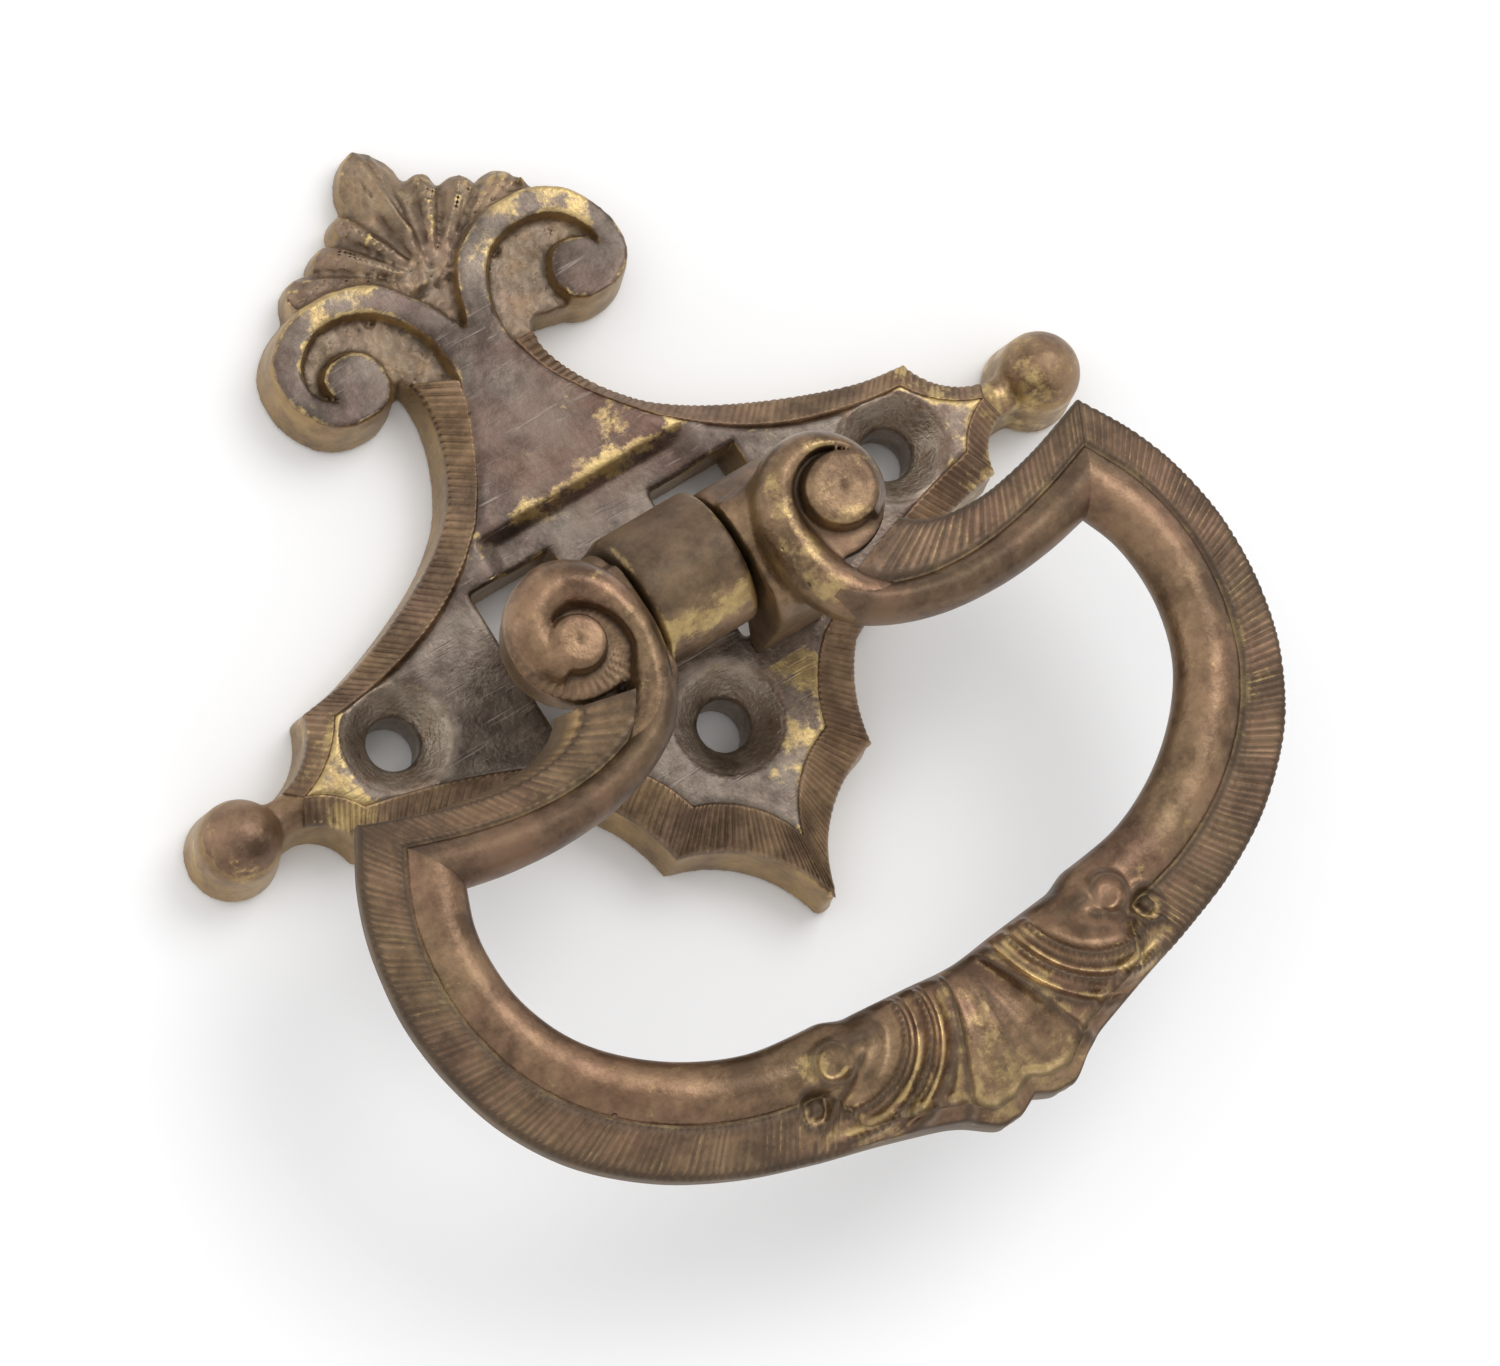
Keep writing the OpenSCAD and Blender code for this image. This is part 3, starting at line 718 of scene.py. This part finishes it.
# Outer edge, inner edge and ridge pitch of each band, all drawn on the right and mirrored for the
# left. The two waists differ, so each also says which side it is for.
waists = [
    (smooth(WAIST_R[1:]), smooth(INNER_R[1:6][::-1]) + smooth(inner_low), 0.80, 1),
    (flip(smooth(WAIST_L[1:])), flip(smooth(INNER_L[1:6][::-1])) + smooth(inner_low), 0.80, -1)]
segments = [
    (end(arc((38.8, 8.9), (45.2, 2.9), -1.2, 8), (45.2, 2.9)),
     end(arc((36.6, 7.0), (44.0, 1.2), -0.9, 6), (44.0, 1.2)), 0.75),
    (end(arc((45.2, -1.2), (41, -6.2), -1, 8), (41, -6.2)),
     end(arc((44.0, 1.2), (39.0, -3.0), -0.6, 6), (39.0, -3.0)), 0.75),
    (end(arc((41, -6.2), (17.5, -14), -1.2, 12), (17.5, -14)),
     end(arc((39.0, -3.0), (14.2, -12), -1, 12), (14.2, -12)), 0.78),
    (end(arc((17.5, -14), (12.5, -24.4), -0.9, 8), (12.5, -24.4)),
     end(arc((14.2, -12), (8.7, -20.8), -0.8, 8), (8.7, -20.8)), 0.72),
    (end(arc((12.5, -24.4), (0, -36.4), -2.4, 16), (0, -36.4)),
     end(arc((8.7, -20.8), (0, -29.6), -1.6, 12), (0, -29.6)), 0.74),
]
parts = []
for side in (1, -1):
    own = [waist[:3] for waist in waists if waist[3] == side]
    for k, (outer, inner, pitch) in enumerate(segments + own):
        v, q, *rest = border_strip(np.array(outer, float) * [side, 1],
                                   np.array(inner, float) * [side, 1],
                                   pitch, 20 + k + 50 * (side < 0))
        parts.append((v, q[:, ::-1] if side > 0 else q, *rest))
hv, hq, hw, hd = join(parts)
make_mesh("backplate_border", hv, hq,
          {"wear": hw, "grime_and_shade": hd, "wall": np.zeros(len(hv)), "flat": np.zeros(len(hv)),
           "gilt": 0.75 * sstep(34, 38, np.abs(hv[:, 0]))},
          plate_mat, "plate")

# ---------------------------------------------------------------- bail
BAR_Z, BAR_R = 27.3, 3.6  # height of the bar's middle, half its height
MEET = 40  # degrees up the tube at which the flange meets it
RIDGE_PITCH = 0.86
# Outer and inner edges of the right half: the arm up to the elbow, then the bow to the middle
arm_outer = [(20.5, -5.4), (22.3, -8), (25, -9.4), (28.5, -9.9), (32.5, -9.8), (38.5, -8.6),
             (45.6, -6.3)]
arm_inner = [(6.6, -6), (10.2, -13), (14.5, -16.3), (20.7, -18.4), (27.5, -19), (34, -18.5),
             (39.3, -17.5)]
bow_outer = [(45.6, -6.3), (49.2, -12.7), (51.3, -19), (52.2, -26), (51.6, -33), (49.6, -40),
             (45.5, -47), (39, -53), (31.5, -57.2), (24, -59.9), (16.5, -62), (8, -64.6), (0, -67)]
bow_inner = [(39.3, -17.5), (40.8, -21.5), (41.3, -25.5), (40.9, -30), (39.4, -34.5),
             (36.9, -38.3), (33.3, -41.8), (28.8, -44.8), (23.5, -47), (17.5, -47.9),
             (11.5, -48.2), (5.5, -48.6), (0, -49)]


def catmull(points, t, mirror_end=False):
    """Points of the curve at t, counted in points; mirror_end carries it on across x = 0."""
    p = np.array(points, float)
    n = len(p) - 1
    i = np.minimum(t.astype(int), n - 1)
    share = (t - i)[:, None]
    first = 2 * p[0] - p[1]
    last = p[-2] * [-1, 1] if mirror_end else 2 * p[-1] - p[-2]
    q = np.vstack([first, p, last])
    a, b, c, d = q[i], q[i + 1], q[i + 2], q[i + 3]
    return catmull_at(a, b, c, d, share)


def even_t(points, step, mirror_end=False):
    """The t values and lengths of points about step apart along the curve."""
    t = np.linspace(0, len(points) - 1, 1200)
    p = catmull(points, t, mirror_end)
    s = np.concatenate([[0], np.cumsum(np.linalg.norm(np.diff(p, axis=0), axis=1))])
    n = int(s[-1] / step) + 1
    return np.interp(np.linspace(0, s[-1], n), s, t), np.linspace(0, s[-1], n)


def bump1(x, c, w):
    """A bell of height 1 at c."""
    return np.exp(-((x - c) / w) ** 2)


def clasp_relief(x, y):
    """Height in millimetres added to the bar's top by the shell clasp and its C-scrolls."""
    ax = np.abs(x)
    # C-scrolls: arcs about a centre on each side, with beads on the two inner ones
    r = np.hypot(ax - 16.4, y + 50.2)
    th = np.arctan2(-(y + 50.2), 16.4 - ax)
    on = sstep(-0.6, 0.0, th) * (1 - sstep(1.75, 2.15, th))
    z = 1.1 * (1 - sstep(13.5, 21, ax))
    z -= on * 0.55 * bump1(r, 6.4, 1.0)
    z -= on * 0.45 * (bump1(r, 9.4, 0.55) + bump1(r, 11.9, 0.6))
    for rad, beads in ((8.0, 72), (10.6, 96)):
        z += on * bump1(r, rad, 0.42) * (0.85 + 0.22 * np.cos(th * beads))
        z += on * 0.30 * bump1(r, rad + 0.95, 0.30)
    z += on * 0.9 * bump1(r, 13.1, 0.7)
    # leaf scroll that curls round the rosette at the outer end
    d = np.hypot(ax - 21.0, y + 55.6)
    ends = 1 - sstep(22.5, 25, ax)
    z += ends * (1.5 * bump1(d, 0, 0.75) - 0.6 * bump1(d, 1.25, 0.4) + 0.7 * bump1(d, 2.1, 0.5))
    z += 1.1 * bump1(np.hypot((ax - 13.9) / 1.7, y + 51.6), 0, 1.1)
    z -= 0.7 * bump1(np.hypot((ax - 16.6) / 1.5, y + 54.2), 0, 0.8)
    z += 0.9 * bump1(np.hypot(ax - 17.4, y + 52.6), 2.1, 0.5) * sstep(15.4, 16.6, ax)
    z += 0.7 * bump1((ax - 14) * 0.62 + (y + 53.2), 0, 0.6) * sstep(13.5, 15, ax) * ends
    # the shell: a hollow fan that widens to two lobes, between raised edges
    u = np.clip((-y - 49) / 17.5, 0.0, 1.1)
    half = 1.8 + 5.6 * u ** 1.4
    mid = 1.5 * u
    sx = (x - mid) / half
    fan = 1 - sstep(0.85, 1.1, np.abs(sx))
    hollow = (0.75 - 0.9 * u * bump1(np.abs(sx), 0.45, 0.36)
              - 0.45 * bump1(sx, 0, 0.12) * sstep(0.3, 0.7, u))
    ribs = 0.04 * np.cos(sx * 14) * sstep(0.1, 0.4, u) * (1 - sstep(0.6, 0.9, u))
    z = z * (1 - fan) + fan * (hollow + ribs)
    z += 0.95 * bump1(np.abs(sx), 1.02, 0.13) * sstep(0.02, 0.2, u)
    z += 0.5 * bump1(np.abs(sx), 0.5, 0.35) * sstep(0.86, 1.0, u)
    return z


def bar(outer, inner, shares, pitch, seed, closing=False, step=0.22, first=0.0, bevel=None):
    """The bar between its inner and outer edge: a round tube and a hatched flange.

    shares is the tube's share of the width at each point, bevel takes that much off the flange's
    top edge, first leaves out the start, and closing carries the bar on to the middle and adds
    the clasp. The rows run round the section.
    """
    t, s = even_t(outer, step, closing)
    if first:
        s, t = s[t >= first], t[t >= first]
    a, b = catmull(inner, t, closing), catmull(outer, t, closing)
    width = np.linalg.norm(b - a, axis=1)
    u = (b - a) / width[:, None]
    share = np.interp(t, np.arange(len(shares)), shares)
    n = len(t)
    r = share * width / 2
    wave, strength = ridge_wave(s, pitch, seed)
    clasp = 1 - sstep(17.5, 22.5, np.abs(b[:, 0])) if closing else np.zeros(n)
    plain = 1 - clasp
    hatch = sstep(20.0, 21.5, np.abs(b[:, 0])) if closing else np.ones(n)
    rows, wv, dv, wl = [], [], [], []

    def add(off, z, ridge, wear, grime_and_shade, wall=0.0):
        z = z + BAR_Z + np.zeros(n)
        p = a + u * (off + np.zeros(n))[:, None]
        z = z + 0.28 * ridge * hatch * (wave - 1) * strength
        p = p + u * (0.10 * (wave - 0.5) * hatch * (1.0 if ridge and wall else 0.0))[:, None]
        rows.append(np.column_stack([p, z]))
        crown = wave * strength
        tip = 1.5 if wall else 0.3
        wv.append(wear + ridge * hatch * np.clip((crown - 0.6) * tip, 0, 1))
        # the flange a little darker and the valleys between its ridges more: painted shade
        dv.append(grime_and_shade + 0.10 * (ridge > 0) + ridge * hatch * np.clip(0.7 - crown, 0, 1) * 0.6)
        wl.append(np.full(n, float(wall)))

    # round the tube, from below the flange to where the flange meets it on top
    around = np.concatenate([np.linspace(325, 195, 14)[:-1],
                             np.linspace(195, MEET, 52 if closing else 26)])
    for phi in np.radians(around):
        tube_u = r + r * math.cos(phi)
        flat = width / 2 * (1 + math.cos(phi) * 0.86)
        add(tube_u * plain + flat * clasp, BAR_R * math.sin(phi), 0.0,
            0.12 * (math.sin(phi) > 0.2), 0.0, 0.25 * (math.sin(phi) < -0.2))
    # then over the flange's top, down its edge and back below it
    j0 = r * (1 + math.cos(math.radians(MEET)))
    j0 = j0 * plain + width * 0.87 * clasp
    slope = 0.0 if bevel is None else np.interp(t, np.arange(len(bevel)), bevel)
    left = width - j0 - slope
    z0 = BAR_R * math.sin(math.radians(MEET))
    # the crease where the flange meets the tube is darkened: painted shade
    add(j0 + np.minimum(0.25, left * 0.1), z0 - 0.35, 0.0, 0.0, 0.8)
    add(j0 + np.minimum(0.55, left * 0.2), z0 + 0.12, 0.3, 0.5, 0.0)
    for q in (0.26, 0.34, 0.42, 0.50, 0.58, 0.66, 0.74, 0.82, 0.89, 0.95):
        add(j0 + left * q, z0 + 0.05 - (z0 - 1.25) * q, 1.0, 0.0, 0.0)
    add(width - slope, 0.95, 0.8, 0.25, 0.0, 0.1)
    add(width + 0.08 - slope * 0.9, 0.45, 0.4, 0.1, 0.0, 1.0)
    add(width + 0.05 - slope * 0.45, -0.5, 0.0, 0.0, 0.0, 0.6)
    add(width + 0.05, -1.5, 0.0, 0.0, 0.0, 0.6)
    add(width - 0.35, -2.0, 0.0, 0.0, 0.0, 0.5)
    # the flange's underside is darkened a little: painted shade
    add(j0 + left * 0.5, -2.15, 0.0, 0.0, 0.1, 0.2)
    add(j0 + left * 0.1, -2.2, 0.0, 0.0, 0.3, 0.2)
    m = len(rows)
    verts = np.stack(rows, 1).reshape(-1, 3)
    if closing:
        top_side = verts[:, 2] > BAR_Z + 0.6
        x, y = verts[:, 0], verts[:, 1]
        reach = (1 - sstep(20, 25.5, np.abs(x)))
        lift = clasp_relief(x, y) * reach
        edge = np.clip((verts[:, 2] - BAR_Z - 0.6) / 1.2, 0, 1)
        verts[:, 2] += np.where(top_side, lift * edge * 0.9, 0)
        under = verts[:, 2] < BAR_Z - 0.6
        verts[:, 2] -= np.where(under, 0.5 * (1 - sstep(10, 20, np.abs(x))), 0)
        # lobes of the shell at the outer edge
        lobe = 1.4 * bump1(x, 4.4, 3.0) - 1.3 * bump1(x, -1.6, 3.2) - 0.25 * bump1(x, 3.4, 0.8)
        tt = np.repeat(clasp, m) * np.clip((-y - 60) / 4, 0, 1)
        verts[:, 1] -= lobe * tt
    i, j = np.meshgrid(np.arange(n - 1), np.arange(m), indexing="ij")
    j2 = (j + 1) % m
    quads = np.stack([i * m + j, i * m + j2, (i + 1) * m + j2, (i + 1) * m + j], -1).reshape(-1, 4)
    return (verts, quads) + tuple(np.stack(k, 1).ravel() for k in (wv, dv, wl))


arm_shares = [0.30, 0.34, 0.42, 0.50, 0.57, 0.62, 0.65]
bow_shares = [0.65, 0.65, 0.65, 0.65, 0.65, 0.65, 0.64, 0.63, 0.62, 0.61, 0.60, 0.60, 0.60]
vs, qs, ws, ds, wls = [], [], [], [], []
base = 0
for side in (1, -1):
    for outer, inner, shares, seed, closing in (
            (arm_outer, arm_inner, arm_shares, 11, False),
            (bow_outer, bow_inner, bow_shares, 12, True)):
        bevel = (2.6, 2.6, 2.2, 1.6, 1.0, 0.5, 0.2) if side < 0 and not closing else None
        first = 0.0 if closing else (0.75 if side > 0 else 0.5)
        v, q, w, d, wl = bar(outer, inner, shares, RIDGE_PITCH, seed + 40 * (side < 0), closing,
                             first=first, bevel=bevel)
        if side < 0:
            v = v * [-1, 1, 1]
            q = q[:, ::-1]
        vs.append(v)
        qs.append(q + base)
        ws.append(w)
        ds.append(d)
        wls.append(wl)
        base += len(v)
bv, bq = np.concatenate(vs), np.concatenate(qs)
bcx = convexity(bv, bq, 6)
bw = np.clip(np.concatenate(ws) + np.clip((bcx - 0.04) * 7, 0, 0.75), 0, 1)
# darker in concave hollows: partly grime, partly painted shade
bd = np.clip(np.concatenate(ds) + np.clip(-bcx * 12, 0, 0.8), 0, 1)
b_gilt = 0.18 + 0.7 * (1 - sstep(17, 26, np.abs(bv[:, 0]))) * (bv[:, 1] < -40) * (bv[:, 2] > 28)
bv = bv + (0.05 * lumps(bv[:, 0], bv[:, 1], bv[:, 2], 5, 9))[:, None] * normals_of(bv, bq)
bar_obj = make_mesh("bail_ring", bv, bq,
                    {"wear": bw, "grime_and_shade": bd, "wall": np.concatenate(wls), "flat": np.zeros(len(bv)),
                     "gilt": np.clip(b_gilt, 0, 0.75)},
                    bail_mat, "knocker")
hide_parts("bail")

# ---------------------------------------------------------------- scroll heads and lugs
H_STEP = 0.3
LUG_R, LUG_IN, LUG_OUT = 6.8, 6.25, 15.3  # radius about the axis, inner and outer cheek
HEEL_Z = 9.4  # underside of the heels, just clear of the face


def head(side):
    """One scroll head with its lug and heel, worked out on the right and mirrored for the left."""
    lo = np.array([5.6, -14.4, 8.6])
    n = [64, 78, 82]
    hx = (lo[0] + H_STEP * np.arange(n[0]))[:, None, None]
    hy = (lo[1] + H_STEP * np.arange(n[1]))[None, :, None]
    hz = (lo[2] + H_STEP * np.arange(n[2]))[None, None, :]
    # the tube winds round the head from the arm and narrows into the disc: x, y, half its width
    # and half its height
    if side > 0:
        path = [(20.6, -16.2, 1.4, 2.2), (17.4, -15.2, 1.9, 2.8), (14.6, -13.6, 2.5, 3.4),
                (12.2, -11.2, 2.85, 3.75), (10.6, -8.0, 2.85, 3.75), (10.05, -4.6, 2.75, 3.8),
                (10.4, -1.2, 2.6, 3.8), (11.7, 1.6, 2.5, 3.8), (14.2, 3.3, 2.45, 3.8),
                (17.0, 3.3, 2.4, 3.8), (19.3, 1.7, 2.3, 3.8), (20.4, -0.6, 2.2, 3.8),
                (20.2, -3.0, 2.1, 3.7), (18.6, -4.6, 2.0, 3.6)]
        disc_at, disc_r, rim_at, rim_r = (17.1, -2.0), 4.2, (15.5, -1.5), 6.9
    else:
        path = [(20.6, -16.2, 1.4, 2.2), (17.4, -15.2, 1.9, 2.8), (14.5, -13.4, 2.4, 3.4),
                (11.9, -10.6, 2.55, 3.75), (10.2, -7.0, 2.4, 3.75), (9.6, -3.4, 2.5, 3.8),
                (10.2, 0.2, 2.7, 3.8), (12.0, 3.2, 2.9, 3.8), (14.8, 4.5, 3.0, 3.8),
                (17.8, 3.4, 2.95, 3.75), (19.3, 1.0, 2.8, 3.7), (19.2, -1.6, 2.6, 3.6),
                (17.9, -3.4, 2.2, 3.6), (16.6, -3.4, 1.8, 3.6)]
        disc_at, disc_r, rim_at, rim_r = (16.0, -1.9), 3.2, (15.3, -0.6), 7.2
    p = np.array(path)
    tt = np.linspace(0, len(p) - 1, 60)
    q2 = catmull([tuple(k) for k in p[:, :2]], tt)
    rr = np.interp(tt, np.arange(len(p)), p[:, 2])
    rv = np.interp(tt, np.arange(len(p)), p[:, 3])
    xy = np.full((n[0], n[1]), 1e9)
    rad = np.full((n[0], n[1]), 2.5)
    tall = np.full((n[0], n[1]), 3.7)
    hx2, hy2 = hx[:, :, 0] + 0 * hy[:, :, 0], hy[:, :, 0] + 0 * hx[:, :, 0]
    for k in range(len(q2) - 1):
        a, b = q2[k], q2[k + 1]
        e = b - a
        along = np.clip(((hx2 - a[0]) * e[0] + (hy2 - a[1]) * e[1]) / (e @ e), 0, 1)
        away = np.hypot(hx2 - a[0] - along * e[0], hy2 - a[1] - along * e[1])
        here = rr[k] + (rr[k + 1] - rr[k]) * along
        better = away - here < xy - rad
        xy = np.where(better, away, xy)
        rad = np.where(better, here, rad)
        tall = np.where(better, rv[k], tall)
    across = xy / rad
    zz = np.abs(hz - BAR_Z) / tall[:, :, None]
    tube = (np.sqrt(across[:, :, None] ** 2 + zz ** 2) - 1) * np.minimum(rad[:, :, None], 3.2)
    # web under the groove, and the round disc the tube ends in
    rim = np.hypot(hx - rim_at[0], hy - rim_at[1]) - rim_r
    web = smax(rim, np.maximum(hz - 28.6, 24.0 - hz), 0.5)
    rd = np.hypot(hx - disc_at[0], hy - disc_at[1])
    disc = smax(rd - disc_r + 0.12 * (hz - 29.5), np.maximum(hz - 31.3, 25.0 - hz), 0.9)
    f = smin(tube, web, 0.5)
    th = np.degrees(np.arctan2(hy - disc_at[1], hx - disc_at[0])) % 360
    f = smin(f, disc, 0.35)
    if side > 0:
        wide = np.interp(th, [0, 45, 90, 180, 250, 300, 360], [0, 0.05, 0.32, 0.42, 0.45, 0.3, 0])
        first_th, last_th = 46, 290
    else:
        wide = np.interp(th, [0, 70, 120, 170, 210, 260, 320], [0, 0.05, 0.4, 0.75, 1.3, 1.6, 1.2])
        first_th, last_th = 72, 318
    cut = np.maximum(np.abs(rd - disc_r - wide) - wide, 28.75 - hz)
    cut = np.maximum(cut, np.where((th > first_th) & (th < last_th), -1, 1))
    f = smax(f, -cut, 0.3)
    # punch mark in the middle of the disc
    dot = np.sqrt((hx - disc_at[0]) ** 2 + (hy - disc_at[1]) ** 2 + (hz - 31.45) ** 2) - 0.42
    f = np.maximum(f, -dot)
    # lug about the hinge axis, rising into the head, with a heel down to the plate
    rl = np.hypot(hy, hz - AXIS_Z)
    lug = rl - LUG_R
    neck = np.maximum(np.maximum(-6.4 - hy, hy - 4.0), np.maximum(AXIS_Z - hz, hz - 26.5))
    neck = smax(neck, rl - 8.0, 0.8)
    lug = smin(lug, neck, 0.8)
    heel = np.maximum(np.maximum(-10.4 - hy, hy + 3.0), np.maximum(HEEL_Z - hz, hz - 25))
    slope = (hy + 8.7) * 0.86 - (hz - HEEL_Z) * 0.52
    heel = smax(heel, slope, 0.4)
    heel = smax(heel, np.where(hz > AXIS_Z, rl - 10.6, -9.0), 0.8)
    lug = smin(lug, heel, 1.2)
    lug = smax(lug, np.maximum(LUG_IN - hx, hx - LUG_OUT), 0.6)
    f = smin(f, lug, 1.6)
    f = smax(f, LUG_IN - hx, 0.4)
    v, q = surface_nets(f.astype(np.float32), lo, H_STEP)
    v = relax(v, q, 2, w=0.45)
    c = convexity(v, q, 5)
    nn = normals_of(v, q)
    if side < 0:
        turn = np.arctan2(v[:, 1] - disc_at[1], v[:, 0] - disc_at[0])
        groove = (np.abs(v[:, 2] - 28.7) < 0.35) * (nn[:, 2] > 0.6) * (v[:, 1] < 1)
        v[:, 2] += 0.16 * groove * np.cos(turn * 36)
    z = v[:, 2]
    w = np.clip((c - 0.06) * 8, 0, 0.9) + 0.12 * (z > 28.5)
    # darker in hollows (partly grime, partly painted shade), on the groove floors and low down near
    # the plate (painted shade)
    dd = np.clip(-(c + 0.02) * 9, 0, 0.8) + 0.25 * ((z < 29.2) & (nn[:, 2] > 0.5) & (z > 28))
    dd = dd + 0.35 * (1 - sstep(20, 24.5, z))
    if side < 0:
        v = v * [-1, 1, 1]
        q = q[:, ::-1]
    return v, q, np.clip(w, 0, 1), np.clip(dd, 0, 1), (nn[:, 2] < 0.3) * 0.4


for side, word in ((1, "right"), (-1, "left")):
    v, q, w, d, wl = head(side)
    make_mesh("bail_scroll_" + word, v, q,
              {"wear": w, "grime_and_shade": d, "wall": wl, "flat": np.zeros(len(v)),
               "gilt": 0.18 + (0.45 if side > 0 else 0.15) * sstep(28.8, 30.2, v[:, 2])},
              bail_mat, "knocker")

# ---------------------------------------------------------------- pin
for pin_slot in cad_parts["hinge_pin"].material_slots:
    pin_slot.material = pin_mat

# ---------------------------------------------------------------- floor and light
LIGHT_AWAY = 1.3
bpy.ops.mesh.primitive_plane_add(size=6.0, location=(0, 0, -0.0002))
floor = bpy.context.object
floor.name = "floor"
fmat = bpy.data.materials.new("floor")
fmat.use_nodes = True
fb = fmat.node_tree.nodes["Principled BSDF"]
fb.inputs["Base Color"].default_value = (0.90, 0.90, 0.905, 1)
fb.inputs["Roughness"].default_value = 0.75
fb.inputs["Specular IOR Level"].default_value = 0.2
floor.data.materials.append(fmat)


def area(name, at, size, power):
    """A soft light at that place, aimed at the middle of the knocker."""
    light = bpy.data.lights.new(name, "AREA")
    light.shape = "RECTANGLE"
    light.size, light.size_y = size
    light.energy = power
    ob = bpy.data.objects.new(name, light)
    bpy.context.scene.collection.objects.link(ob)
    ob.location = Vector(at)
    aim = Vector((0, -0.01, 0.01)) - Vector(at)
    ob.rotation_euler = aim.to_track_quat("-Z", "Y").to_euler()


def by_camera(right, over, back):
    """A place LIGHT_AWAY metres out, in a direction given as the camera sees it."""
    v = CAM_RIGHT * right + CAM_UP * over - CAM_FWD * back
    return v / np.linalg.norm(v) * LIGHT_AWAY


area("key", by_camera(0.75, 0.85, 0.9), (0.7, 0.7), 5.0)
area("top", (-0.5, 0.5, 1.5), (1.2, 1.2), 2.0)
area("side", by_camera(-1.0, 0.2, 0.45), (0.4, 0.8), 1.2)

world = bpy.data.worlds.new("world")
bpy.context.scene.world = world
world.use_nodes = True
bg = world.node_tree.nodes["Background"]
bg.inputs["Color"].default_value = (1, 1, 1, 1)
bg.inputs["Strength"].default_value = 0.93
bpy.context.scene.view_settings.view_transform = "Standard"
